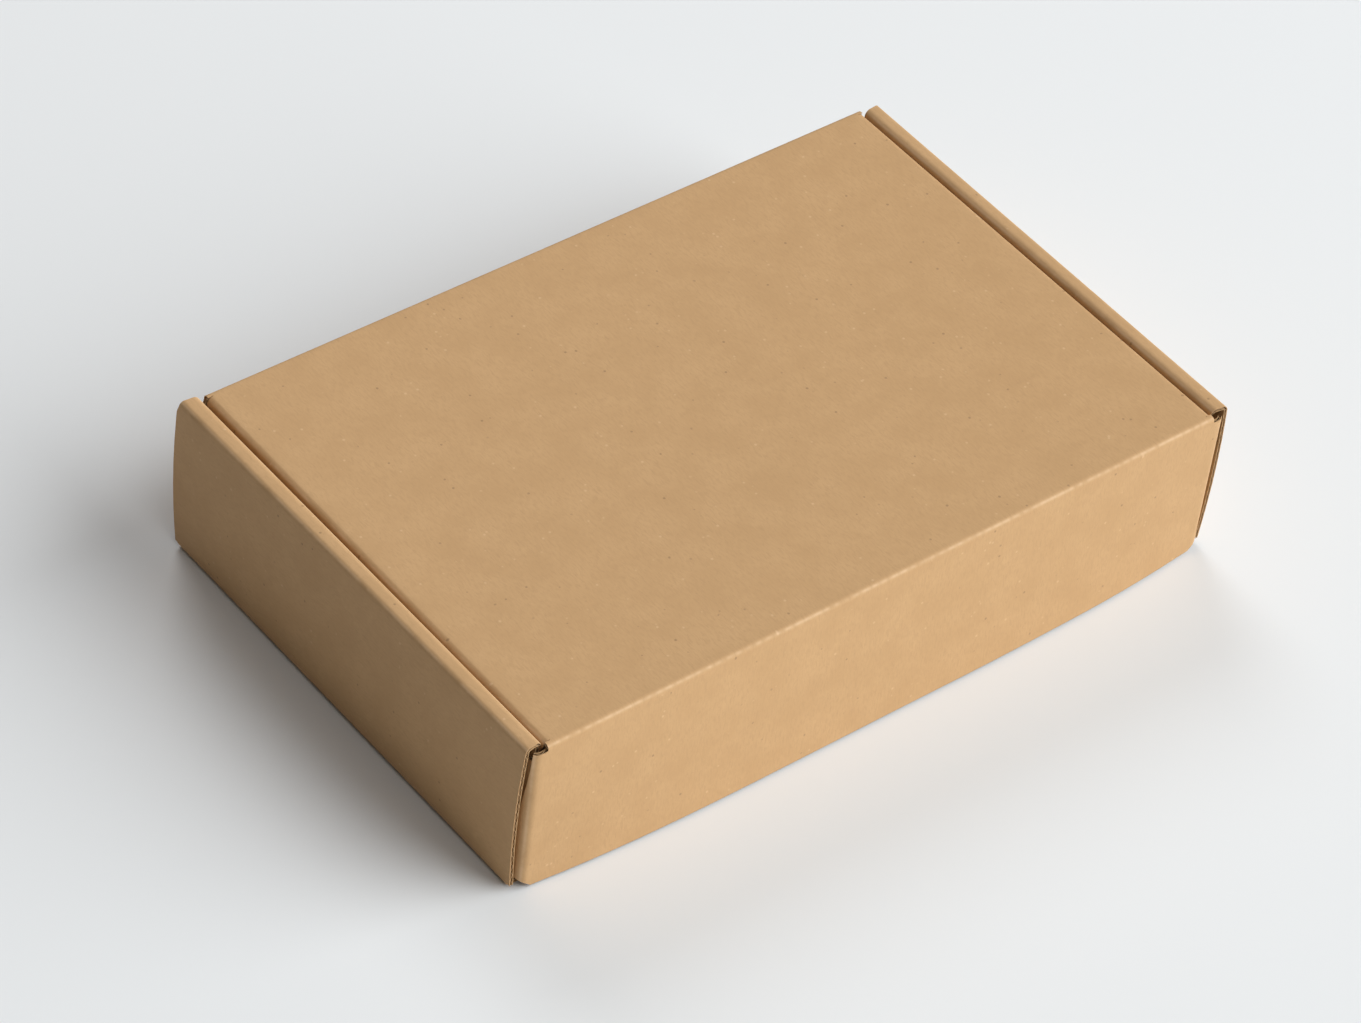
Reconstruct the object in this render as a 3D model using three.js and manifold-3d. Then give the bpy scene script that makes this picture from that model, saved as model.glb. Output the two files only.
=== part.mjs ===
// A closed kraft mailing box of thin corrugated board. The real box is one die-cut sheet, folded:
// the base carries a front wall, a back wall and two end walls that roll over and lock into slots in
// the base, and the back wall carries a lid with two side flaps and a front flap with two ears.
// The sheet is parted here only at the two creases that open, so it makes three solids:
//   tray        base, front and back walls with their corner flaps, and the two rolled end walls
//   lid         top panel with a dust flap down each side, hinged on the crease of the back wall
//   front_flap  panel over the front wall, with an ear tucked into each rolled end wall
// Millimetres. +X is the box's right and +Z is up, and the front flap faces -Y. The origin is on the
// table under the middle of the box.
import * as THREE from "three";
import { mergeVertices } from "three/addons/utils/BufferGeometryUtils.js";
import Module from "manifold-3d";

const wasm = await Module();
wasm.setup();

// Overall size
const WIDTH = 250; // outside of one rolled end wall to the outside of the other
const DEPTH = 162.5; // lower edge of the front flap, bowed out, to the face of the back wall
const HEIGHT = 54; // table to the top of the rolled end walls

// The board and its folds
const BOARD = 1.2; // thickness of the board
const FOLD_RADIUS = 0.5; // inside radius of a tight fold
const ROLL_FOLD_RADIUS = 1.2; // the same, where a rolled end wall turns down inside the box
const LID_FOLD_RADIUS = 1.4; // the same, between the lid and a dust flap
const EAR_FOLD_RADIUS = 1.7; // the same, between the front flap and an ear
const FOLD_STEPS = 6; // facets around a square fold
const LAYER_GAP = 0.3; // between two layers of board that lie face to face
const CREASE_GAP = 0.2; // each side of a crease that opens

// The lid
const LID_DROP = 0.7; // how far the lid lies below the top of the rolled end walls
const LID_SIDE_GAP = 0.5; // between the lid and each rolled end wall
const CREASE_INSET = 0.4; // from the lid's side to the end of each crease that opens
const DUST_FLAP_DEPTH = 30; // how far a dust flap reaches down from the lid's top
const DUST_FLAP_SLANT = 14; // how much shorter its free edge is, at each end
const DUST_FLAP_CORNER = 8; // radius of its free corners
const LID_NOTCH = 2.5; // length of the notch that parts a dust flap from each crease of the lid

// The front flap
const FLAP_LEAN = 0.5; // degrees that the front flap stands out of plumb at its ears
const FLAP_BOW = 3.4; // how much further its lower edge bows out in the middle
const FLAP_BOW_FLATNESS = 4; // power of the bow: 2 is a plain arch, more is flatter in the middle
const FLAP_BOW_STEPS = 24; // facets along the bow
const FLAP_FLOOR_GAP = 0.8; // under the front flap's lower edge, measured along the flap
const FLAP_SHOULDER = 4; // drop from the crease to the upper edge of the ears
const FLAP_SHOULDER_ROUND = 1.6; // radius in the corner of the shoulder, beside the crease
const FLAP_CORNER_CUT = [4, 3.6]; // width and height cut off each lower corner of the front flap
const EAR_CLEARANCE = 0.3; // between an ear's edges and what they swing past
const EAR_STEPS = 8; // facets along each curved edge of an ear

// The walls
const END_WALL_BOW = 1.2; // how far an outer end wall bows out at half its height
const END_WALL_BOW_STEPS = 8; // facets up the bow
const END_WALL_SETBACK = 0.7; // from the back wall's face to the end walls' rear edges
const ROLL_END_SLANT = 0.9; // how far the roll's front edge runs back across its top
const WALL_SHOULDER = 5.8; // from the lid's top to the upper edge of the corner flaps
const WALL_SHOULDER_INSET = 6; // from a corner fold to where the front wall reaches full height
const CORNER_FLAP_LENGTH = 56; // corner flap, from its fold to its free edge
const CORNER_FLAP_TAPER = 6; // how much its free edge is cut at the top and at the bottom
const CORNER_FLAP_CORNER = 5; // radius of its free corners
const TAB_LENGTH = 28; // each locking tab under an inner end wall
const TAB_SPACING = 84; // between the middles of an end wall's two tabs

// Layers of a rolled end wall, by the distance of their outward faces from the middle of the box
const endWallFace = WIDTH / 2;
const earFace = endWallFace - BOARD - LAYER_GAP;
const cornerFlapFace = earFace - BOARD - LAYER_GAP;
const innerWallFace = cornerFlapFace - BOARD - LAYER_GAP;
const rollInside = innerWallFace - BOARD;

// Faces from front to back, and levels
const foldOutside = FOLD_RADIUS + BOARD;
const rollFoldOutside = ROLL_FOLD_RADIUS + BOARD;
const lidFoldOutside = LID_FOLD_RADIUS + BOARD;
const lidTop = HEIGHT - LID_DROP;
const flapHeight = lidTop - FLAP_FLOOR_GAP;
const flapLean = THREE.MathUtils.degToRad(FLAP_LEAN);
const flapToe = flapHeight * Math.sin(flapLean) + FLAP_BOW * Math.cos(flapLean);
const flapFace = -DEPTH / 2 + flapToe;
const frontWallFace = flapFace + BOARD + LAYER_GAP;
const frontWallInside = frontWallFace + BOARD;
const backWallFace = DEPTH / 2;
const backWallInside = backWallFace - BOARD;
const endWallRear = backWallFace - END_WALL_SETBACK;
const baseTop = BOARD;
const floorClear = baseTop + LAYER_GAP;
const lidUnder = lidTop - BOARD;
const frontWallTop = lidUnder - LAYER_GAP;
const wallShoulder = lidTop - WALL_SHOULDER;
const lidSide = rollInside - LID_SIDE_GAP;
const creaseEnd = lidSide - CREASE_INSET;
const OVERCUT = 2; // how far a cutter reaches past what it cuts

const kraft = { color: 0xc49f70, roughness: 0.85, metalness: 0 };

function point(x, y) {
  return new THREE.Vector2(x, y);
}

// Points along an arc, both ends included. Angles are in radians from the first axis.
function arc(centre, radius, from, to, steps) {
  const points = [];
  for (let i = 0; i <= steps; i++) {
    const angle = from + ((to - from) * i) / steps;
    points.push(
      point(centre.x + radius * Math.cos(angle), centre.y + radius * Math.sin(angle)),
    );
  }
  return points;
}

// What rounding the corner between two directions takes: where the arc starts, its centre and turn.
function rounding(previous, corner, next, radius) {
  const before = corner.clone().sub(previous).normalize();
  const after = next.clone().sub(corner).normalize();
  const turn = Math.atan2(before.cross(after), before.dot(after));
  const reach = radius * Math.tan(Math.abs(turn) / 2);
  const start = corner.clone().addScaledVector(before, -reach);
  const side = point(-before.y, before.x).multiplyScalar(Math.sign(turn));
  const centre = start.clone().addScaledVector(side, radius);
  return { centre, turn, side, from: Math.atan2(-side.y, -side.x) };
}

// A board's middle line with every inner corner rounded, as points with the board's left-hand normal.
// Each corner is its two coordinates and, where the fold isn't a tight one, its inside radius.
function foldedLine(list) {
  const corners = list.map(([x, y]) => point(x, y));
  const normal = (a, b) => {
    const along = b.clone().sub(a).normalize();
    return point(-along.y, along.x);
  };
  const last = corners.length - 1;
  const line = [{ at: corners[0], out: normal(corners[0], corners[1]) }];
  for (let i = 1; i < last; i++) {
    const radius = (list[i][2] ?? FOLD_RADIUS) + BOARD / 2;
    const bend = rounding(corners[i - 1], corners[i], corners[i + 1], radius);
    const sign = Math.sign(bend.turn);
    const steps = Math.ceil((FOLD_STEPS * Math.abs(bend.turn)) / (Math.PI / 2) - 0.01);
    for (const at of arc(bend.centre, radius, bend.from, bend.from + bend.turn, steps)) {
      const out = bend.centre.clone().sub(at).normalize().multiplyScalar(sign);
      line.push({ at, out });
    }
  }
  line.push({ at: corners[last], out: normal(corners[last - 1], corners[last]) });
  return line;
}

// The outline of a folded board seen edge on, from the corners of its middle line.
function foldedBoard(corners) {
  const line = foldedLine(corners);
  const offset = (side) =>
    line.map(({ at, out }) => at.clone().addScaledVector(out, (side * BOARD) / 2));
  return new THREE.Shape([...offset(1), ...offset(-1).reverse()]);
}

// A closed outline whose corners are rounded by the radius given with each one.
function roundedOutline(corners) {
  const points = [];
  corners.forEach(([x, y, radius], i) => {
    if (!radius) {
      points.push(point(x, y));
      return;
    }
    const previous = corners[(i + corners.length - 1) % corners.length];
    const next = corners[(i + 1) % corners.length];
    const bend = rounding(point(...previous), point(x, y), point(...next), radius);
    points.push(...arc(bend.centre, radius, bend.from, bend.from + bend.turn, FOLD_STEPS));
  });
  return new THREE.Shape(points);
}

// A three.js geometry as a closed solid, with its shared vertices merged.
function solid(geometry) {
  geometry.deleteAttribute("normal");
  geometry.deleteAttribute("uv");
  const merged = mergeVertices(geometry, 1e-4);
  return new wasm.Manifold(
    new wasm.Mesh({
      numProp: 3,
      vertProperties: merged.getAttribute("position").array,
      triVerts: new Uint32Array(merged.index.array),
    }),
  );
}

// A section drawn across the box, in X and Z, run from the front to the back.
function runFrontToBack(shape, front, back) {
  const geometry = new THREE.ExtrudeGeometry(shape, { depth: back - front, bevelEnabled: false });
  geometry.rotateX(Math.PI / 2);
  geometry.translate(0, back, 0);
  return solid(geometry);
}

// A section drawn from front to back, in Y and Z, run from the left to the right. bow, where given,
// moves each point in Y by its X and Z.
function runLeftToRight(shape, left, right, bow) {
  const steps = bow ? FLAP_BOW_STEPS : 1;
  const options = { depth: right - left, steps, bevelEnabled: false };
  const geometry = new THREE.ExtrudeGeometry(shape, options);
  geometry.rotateX(Math.PI / 2);
  geometry.rotateZ(Math.PI / 2);
  geometry.translate(left, 0, 0);
  if (bow) {
    const at = geometry.getAttribute("position");
    for (let i = 0; i < at.count; i++) {
      at.setY(i, at.getY(i) + bow(at.getX(i), at.getZ(i)));
    }
  }
  return solid(geometry);
}

// An outline drawn in plan, in X and Y, raised from the bottom to the top.
function raise(shape, bottom, top) {
  const geometry = new THREE.ExtrudeGeometry(shape, { depth: top - bottom, bevelEnabled: false });
  geometry.translate(0, 0, bottom);
  return solid(geometry);
}

function block([left, right], [front, back], [bottom, top]) {
  const geometry = new THREE.BoxGeometry(right - left, back - front, top - bottom);
  geometry.translate((left + right) / 2, (front + back) / 2, (bottom + top) / 2);
  return solid(geometry);
}

// The same span on the left and on the right of the box.
function bothSides(inner, outer, frontBack, bottomTop) {
  return block([inner, outer], frontBack, bottomTop).add(
    block([-outer, -inner], frontBack, bottomTop),
  );
}

function toMesh(name, made) {
  const { vertProperties, triVerts } = made.getMesh();
  const geometry = new THREE.BufferGeometry();
  geometry.setAttribute("position", new THREE.BufferAttribute(vertProperties, 3));
  geometry.setIndex(new THREE.BufferAttribute(triVerts, 1));
  geometry.computeVertexNormals();
  const mesh = new THREE.Mesh(geometry, new THREE.MeshStandardMaterial(kraft));
  mesh.name = name;
  return mesh;
}

// The bowed middle line of an outer end wall, from the base up. side is -1 on the left, +1 on the right.
function bowedWall(side) {
  const outer = endWallFace - BOARD / 2;
  const line = [];
  for (let i = 0; i <= END_WALL_BOW_STEPS; i++) {
    const share = i / END_WALL_BOW_STEPS;
    const bow = END_WALL_BOW * 4 * share * (1 - share);
    line.push([side * (outer + bow), BOARD / 2 + (HEIGHT - BOARD) * share]);
  }
  return line;
}

// Base and both rolled end walls: up the outside, over the top and down the inside, to the base again.
function rolledWalls() {
  const inner = innerWallFace - BOARD / 2;
  const top = HEIGHT - BOARD / 2;
  const section = foldedBoard([
    [-inner, floorClear],
    [-inner, top, ROLL_FOLD_RADIUS],
    ...bowedWall(-1).reverse(),
    ...bowedWall(1),
    [inner, top, ROLL_FOLD_RADIUS],
    [inner, floorClear],
  ]);
  let walls = runFrontToBack(section, frontWallFace, endWallRear);

  // The base ends at the creases of the front and back walls.
  const across = [-endWallFace - OVERCUT, endWallFace + OVERCUT];
  const belowFold = [-OVERCUT, foldOutside];
  const frontCrease = [frontWallFace - OVERCUT, frontWallFace + foldOutside];
  const backCrease = [backWallFace - foldOutside, backWallFace + OVERCUT];
  walls = walls.subtract(block(across, frontCrease, belowFold));
  walls = walls.subtract(block(across, backCrease, belowFold));

  // The inner walls stand between the front and back walls.
  const innerSpan = [rollInside - OVERCUT, innerWallFace + LAYER_GAP / 2];
  const belowRoll = [floorClear, HEIGHT - rollFoldOutside];
  const frontEnd = [frontWallFace - OVERCUT, frontWallInside + LAYER_GAP];
  const backEnd = [backWallInside - LAYER_GAP, backWallFace + OVERCUT];
  walls = walls.subtract(bothSides(...innerSpan, frontEnd, belowRoll));
  walls = walls.subtract(bothSides(...innerSpan, backEnd, belowRoll));

  // The roll's front edge runs back a little towards the lid.
  for (const side of [-1, 1]) {
    const wedge = new THREE.Shape([
      point(side * (endWallFace + OVERCUT), frontWallFace - OVERCUT),
      point(side * endWallFace, frontWallFace),
      point(side * rollInside, frontWallFace + ROLL_END_SLANT),
      point(side * (rollInside - OVERCUT), frontWallFace - OVERCUT),
    ]);
    walls = walls.subtract(raise(wedge, HEIGHT - rollFoldOutside, HEIGHT + OVERCUT));
  }
  return walls;
}

// Each inner end wall locks by two tabs in slots through the base.
function lockingTabs(walls) {
  for (const middle of [-TAB_SPACING / 2, TAB_SPACING / 2]) {
    const tab = [middle - TAB_LENGTH / 2, middle + TAB_LENGTH / 2];
    const slot = [tab[0] - LAYER_GAP, tab[1] + LAYER_GAP];
    const throughBase = [-OVERCUT, baseTop + LAYER_GAP / 2];
    walls = walls.subtract(
      bothSides(rollInside - LAYER_GAP, innerWallFace + LAYER_GAP, slot, throughBase),
    );
    walls = walls.add(bothSides(rollInside, innerWallFace, tab, [0, floorClear + OVERCUT]));
  }
  return walls;
}

// Front and back walls, folded up from the base. The lid's crease is the back wall's upper edge.
function frontAndBackWalls() {
  const front = frontWallFace + BOARD / 2;
  const back = backWallFace - BOARD / 2;
  const base = BOARD / 2;
  const section = foldedBoard([
    [front, frontWallTop],
    [front, base],
    [back, base],
    [back, lidTop],
  ]);
  const flatEnd = cornerFlapFace - foldOutside;
  let walls = runLeftToRight(section, -flatEnd, flatEnd);

  // Mitre under the lid's crease, falling from the outside of the box to the inside.
  const crease = lidTop - CREASE_GAP;
  const aboveMitre = new THREE.Shape([
    point(backWallFace + OVERCUT, crease + OVERCUT),
    point(backWallInside - OVERCUT, crease - BOARD - OVERCUT),
    point(backWallInside - OVERCUT, crease + 2 * OVERCUT),
  ]);
  walls = walls.subtract(runLeftToRight(aboveMitre, -flatEnd - OVERCUT, flatEnd + OVERCUT));

  // Shoulders beside the lid at the back, and beside the corner holes at the front.
  const aboveShoulder = [wallShoulder, lidTop + OVERCUT];
  const backWall = [backWallInside - OVERCUT, backWallFace + OVERCUT];
  const frontWall = [frontWallFace - OVERCUT, frontWallInside + OVERCUT];
  const frontFull = flatEnd - WALL_SHOULDER_INSET;
  walls = walls.subtract(bothSides(creaseEnd, flatEnd + OVERCUT, backWall, aboveShoulder));
  walls = walls.subtract(bothSides(frontFull, flatEnd + OVERCUT, frontWall, aboveShoulder));
  return walls;
}

// The two corner flaps of a wall, folded into the rolled end walls. inward is +1 from the front wall
// and -1 from the back wall.
function cornerFlaps(wallFace, inward) {
  const wall = wallFace + (inward * BOARD) / 2;
  const end = wallFace + inward * CORNER_FLAP_LENGTH;
  const side = cornerFlapFace - BOARD / 2;
  const plan = foldedBoard([
    [-side, end],
    [-side, wall],
    [side, wall],
    [side, end],
  ]);
  const outline = roundedOutline([
    [wallFace - inward * OVERCUT, floorClear, 0],
    [wallFace + inward * foldOutside, floorClear, 0],
    [end, floorClear + CORNER_FLAP_TAPER, CORNER_FLAP_CORNER],
    [end, wallShoulder - CORNER_FLAP_TAPER, CORNER_FLAP_CORNER],
    [wallFace + inward * foldOutside, wallShoulder, 0],
    [wallFace - inward * OVERCUT, wallShoulder, 0],
  ]);
  const flaps = raise(plan, floorClear, wallShoulder);
  return flaps.intersect(runLeftToRight(outline, -endWallFace, endWallFace));
}

function tray() {
  return lockingTabs(rolledWalls())
    .add(frontAndBackWalls())
    .add(cornerFlaps(frontWallFace, 1))
    .add(cornerFlaps(backWallFace, -1));
}

// Top panel, mitred at both creases, with a dust flap folded down at each side.
function lid() {
  const front = flapFace + CREASE_GAP;
  const back = backWallFace - CREASE_GAP;
  const panel = new THREE.Shape([
    point(front, lidTop),
    point(front + BOARD, lidUnder),
    point(back - BOARD, lidUnder),
    point(back, lidTop),
  ]);
  const side = lidSide - BOARD / 2;
  const top = lidTop - BOARD / 2;
  const foot = lidTop - DUST_FLAP_DEPTH;
  const section = foldedBoard([
    [-side, foot],
    [-side, top, LID_FOLD_RADIUS],
    [side, top, LID_FOLD_RADIUS],
    [side, foot],
  ]);
  const notchFront = flapFace + LID_NOTCH;
  const notchBack = backWallFace - LID_NOTCH;
  const outline = roundedOutline([
    [notchFront, lidTop + OVERCUT, 0],
    [notchFront, lidTop - lidFoldOutside, 0],
    [notchFront + DUST_FLAP_SLANT, foot, DUST_FLAP_CORNER],
    [notchBack - DUST_FLAP_SLANT, foot, DUST_FLAP_CORNER],
    [notchBack, lidTop - lidFoldOutside, 0],
    [notchBack, lidTop + OVERCUT, 0],
  ]);
  const sides = runFrontToBack(section, notchFront, notchBack);
  return runLeftToRight(panel, -creaseEnd, creaseEnd).add(
    sides.intersect(runLeftToRight(outline, -endWallFace, endWallFace)),
  );
}

// An ear's outline from the side, in the flap's own frame: Y runs in from the flap's face and Z up
// from its crease. The back edge is an arc about the lid's crease, so the ear clears the roll's end as
// the lid lifts, and the foot is an arc about the flap's crease, so it clears the base as the flap opens.
function earOutline() {
  const lidCrease = point(backWallFace - flapFace, 0);
  const slantAtEar = (ROLL_END_SLANT * (endWallFace - earFace)) / (endWallFace - rollInside);
  const rollEnd = frontWallFace - flapFace + slantAtEar;
  const rollUnder = lidTop - (HEIGHT - BOARD);
  const backRadius = Math.hypot(lidCrease.x - rollEnd, rollUnder) + EAR_CLEARANCE;
  const footRadius = lidTop - floorClear - EAR_CLEARANCE;

  // Where the two arcs cross, measured along the line from the flap's crease to the lid's.
  const tipY = (footRadius ** 2 - backRadius ** 2 + lidCrease.x ** 2) / (2 * lidCrease.x);
  const tip = point(tipY, -Math.sqrt(footRadius ** 2 - tipY ** 2));
  const shoulder = Math.asin(FLAP_SHOULDER / backRadius);
  const tipAngle = Math.atan2(tip.y, tip.x - lidCrease.x) + 2 * Math.PI;
  const back = arc(lidCrease, backRadius, Math.PI + shoulder, tipAngle, EAR_STEPS);
  const footStart = Math.atan2(tip.y, tip.x);
  const footEnd = -Math.PI / 2 + Math.asin(BOARD / footRadius);
  const foot = arc(point(0, 0), footRadius, footStart, footEnd, EAR_STEPS);
  return new THREE.Shape([
    point(-OVERCUT, -FLAP_SHOULDER),
    ...back,
    ...foot.slice(1),
    point(BOARD, -flapHeight - OVERCUT),
    point(-OVERCUT, -flapHeight - OVERCUT),
  ]);
}

// How the front flap bows out between its ears: nothing at the crease and at the ears.
function flapBow(x, z) {
  const across = 1 - Math.abs(x / creaseEnd) ** FLAP_BOW_FLATNESS;
  return (FLAP_BOW * across * z) / flapHeight;
}

// One end of the front flap with its ear, below the shoulder, with the lower corner cut away.
function flapEnd(side) {
  const middle = earFace - BOARD / 2;
  const reach = backWallFace - flapFace;
  const plan = foldedBoard([
    [side * creaseEnd, BOARD / 2],
    [side * middle, BOARD / 2, EAR_FOLD_RADIUS],
    [side * middle, reach / 4],
  ]);
  const [cutWidth, cutHeight] = FLAP_CORNER_CUT;
  const corner = new THREE.Shape([
    point(side * (earFace - cutWidth), -flapHeight),
    point(side * earFace, -flapHeight + cutHeight),
    point(side * (earFace + OVERCUT), -flapHeight + cutHeight),
    point(side * (earFace + OVERCUT), -flapHeight - OVERCUT),
    point(side * (earFace - cutWidth), -flapHeight - OVERCUT),
  ]);
  return raise(plan, -flapHeight, -FLAP_SHOULDER)
    .intersect(runLeftToRight(earOutline(), -endWallFace, endWallFace))
    .subtract(runFrontToBack(corner, -OVERCUT, reach));
}

// The web that rounds the corner of a shoulder, beside the end of the crease.
function shoulderWeb(side) {
  const centre = point(
    side * (creaseEnd + FLAP_SHOULDER_ROUND),
    -FLAP_SHOULDER + FLAP_SHOULDER_ROUND,
  );
  const down = -Math.PI / 2;
  const web = new THREE.Shape([
    point(side * creaseEnd, -FLAP_SHOULDER - OVERCUT),
    point(centre.x, -FLAP_SHOULDER - OVERCUT),
    ...arc(centre, FLAP_SHOULDER_ROUND, down, down - (side * Math.PI) / 2, FOLD_STEPS),
  ]);
  return runFrontToBack(web, 0, BOARD);
}

// Front panel and its ears, in the flap's own frame, with the crease at the origin.
function frontFlap() {
  const panel = new THREE.Shape([
    point(0, -CREASE_GAP),
    point(BOARD, -CREASE_GAP - BOARD),
    point(BOARD, -flapHeight),
    point(0, -flapHeight),
  ]);
  let flap = runLeftToRight(panel, -creaseEnd, creaseEnd, flapBow);
  for (const side of [-1, 1]) {
    flap = flap.add(flapEnd(side)).add(shoulderWeb(side));
  }
  return flap;
}

const box = new THREE.Group();
box.add(toMesh("tray", tray()));
box.add(toMesh("lid", lid()));

const flapFrame = new THREE.Group();
flapFrame.position.set(0, flapFace, lidTop);
flapFrame.rotation.x = -flapLean;
flapFrame.add(toMesh("front_flap", frontFlap()));
box.add(flapFrame);

export default box;
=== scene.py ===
import math

import bmesh
import bpy
from mathutils import Matrix, Vector, noise


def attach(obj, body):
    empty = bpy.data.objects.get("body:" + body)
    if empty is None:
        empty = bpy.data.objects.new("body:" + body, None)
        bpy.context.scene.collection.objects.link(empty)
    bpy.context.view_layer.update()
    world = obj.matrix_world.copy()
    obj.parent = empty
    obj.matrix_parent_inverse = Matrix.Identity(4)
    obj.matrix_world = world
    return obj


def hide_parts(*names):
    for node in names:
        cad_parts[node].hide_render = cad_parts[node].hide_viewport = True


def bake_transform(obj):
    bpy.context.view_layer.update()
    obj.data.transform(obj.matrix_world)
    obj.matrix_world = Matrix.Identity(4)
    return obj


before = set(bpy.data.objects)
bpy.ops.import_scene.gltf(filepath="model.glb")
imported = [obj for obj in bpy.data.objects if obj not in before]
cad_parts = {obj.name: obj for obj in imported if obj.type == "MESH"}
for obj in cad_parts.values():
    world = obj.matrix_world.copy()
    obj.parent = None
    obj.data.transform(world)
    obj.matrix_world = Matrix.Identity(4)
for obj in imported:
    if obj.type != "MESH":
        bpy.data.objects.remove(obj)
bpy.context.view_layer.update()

# A closed mailing box of thin corrugated kraft board, made as the real one is: a blank is die-cut
# flat, and its panels are then folded up. Lengths are millimetres until a piece is finished. The
# blank lies with its inner face up. "across" is the box's length, X, and is 0 in the middle; "along"
# runs from the front wall's free edge over the base, the back wall and the lid to the front flap.
MM = 0.001

# The box and its board, as in the solids
WIDTH, DEPTH, HEIGHT = 250.0, 162.5, 54.0
BOARD = 1.2
HALF = BOARD / 2
LAYER_GAP = 0.3
LID_DROP = 0.7
LID_SIDE_GAP = 0.25
CREASE_INSET = 0.4
FLAP_FLOOR_GAP = 0.8
FLAP_LEAN = math.radians(0.5)
FLAP_BOW = 3.4
END_WALL_BOW = 1.2

# A hair's breadth, so that a cut keeps what lies on its own edge
HAIR = 0.01

# Radii of the folds, at the middle of the board
TIGHT_FOLD = 1.1
ROLL_OUTER_FOLD = 0.95
ROLL_INNER_FOLD = 1.5
LID_FOLD = 1.5
EAR_FOLD = 2.3
OPENING_FOLD = 0.7
SQUARE = math.pi / 2
FOLD_STEPS = 6
FOLD_MARGIN = 1.0

# The three papers of the board
LINER = 0.2
MEDIUM = 0.15
FLUTE_PITCH = 3.4
FLUTE_RISE = (BOARD - 2 * LINER - MEDIUM) / 2
FLUTE_COLUMN = FLUTE_PITCH / 8
LINER_CELL = 8.0
FLUTE_ROW = 16.0

# Play in the photographed box: the left end wall's lean and reach at the rear, and the lid's left side
REAR_LEAN = 0.5
REAR_LEAN_FROM = -20
REAR_REACH = 2.0
REAR_REACH_FROM = 20
REACH_FADE = 4
LID_DRAWN_IN = 1.1
LID_DRAWN_FROM = 40

# Swell of the panels: its height, the sizes of its two waves, and where it dies out near the creases
SWELL = 0.26
WIDE_WAVE = (90, 60)
SMALL_WAVE = 35
SWELL_NEAR_CREASE = (3, 22)
SWELL_NEAR_SIDE = (96, 112)

# Faces of the folded box, counted from its middle
end_wall = WIDTH / 2 - HALF
ear = end_wall - BOARD - LAYER_GAP
corner_flap = ear - BOARD - LAYER_GAP
inner_wall = corner_flap - BOARD - LAYER_GAP
lid_side = inner_wall - HALF - LID_SIDE_GAP
dust_flap = lid_side - HALF
crease_end = lid_side - CREASE_INSET
lid_top = HEIGHT - LID_DROP
flap_height = lid_top - FLAP_FLOOR_GAP
flap_face = -DEPTH / 2 + flap_height * math.sin(FLAP_LEAN) + FLAP_BOW * math.cos(FLAP_LEAN)
front_wall_face = flap_face + BOARD + LAYER_GAP
back_wall_face = DEPTH / 2
floor_clear = BOARD + LAYER_GAP

# The pieces at the two creases that open: how deep they reach from the crease's sharp corner, and how
# deep they bend. The slit parts each crease from the flaps beside it.
CREASE_REACH = 1.8
SLIT = 0.2


def arc_length(radius, angle=SQUARE):
    return radius * angle


# Where each fold starts across the blank, with its radius
base_edge = end_wall - TIGHT_FOLD
wall_start = base_edge + arc_length(TIGHT_FOLD)
roll_start = wall_start + (HEIGHT - HALF - ROLL_OUTER_FOLD) - (HALF + TIGHT_FOLD)
roll_end = roll_start + arc_length(ROLL_OUTER_FOLD)
strip_end = roll_end + (end_wall - inner_wall) - ROLL_OUTER_FOLD - ROLL_INNER_FOLD
inner_start = strip_end + arc_length(ROLL_INNER_FOLD)
inner_end = inner_start + (HEIGHT - HALF - ROLL_INNER_FOLD) - floor_clear
corner_fold = corner_flap - TIGHT_FOLD
corner_start = corner_fold + arc_length(TIGHT_FOLD)
lid_fold = dust_flap - LID_FOLD
dust_start = lid_fold + arc_length(LID_FOLD)
ear_fold = ear - EAR_FOLD
ear_start = ear_fold + arc_length(EAR_FOLD)

# Where each fold starts along the blank
front_fold = front_wall_face + HALF + TIGHT_FOLD
back_fold = back_wall_face - HALF - TIGHT_FOLD
back_start = back_fold + arc_length(TIGHT_FOLD)
lid_crease = back_start + (lid_top - HALF - OPENING_FOLD) - (HALF + TIGHT_FOLD)
lid_start = lid_crease + arc_length(OPENING_FOLD)
flap_turn = SQUARE - FLAP_LEAN
lid_back = back_wall_face - HALF - OPENING_FOLD
lid_front = flap_face + HALF + OPENING_FOLD - HAIR
front_crease = lid_start + lid_back - lid_front
flap_start = front_crease + arc_length(OPENING_FOLD, flap_turn)
flap_start_depth = HALF + OPENING_FOLD


def on_front_wall(level):
    """Place along the blank of a level of the front wall."""
    return front_fold - arc_length(TIGHT_FOLD) - (level - HALF - TIGHT_FOLD)


def on_back_wall(level):
    return back_start + (level - HALF - TIGHT_FOLD)


def on_lid(y):
    return lid_start + lid_back - y


def on_flap(drop):
    """Place along the blank of a drop below the front crease."""
    return flap_start + drop - flap_start_depth


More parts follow.
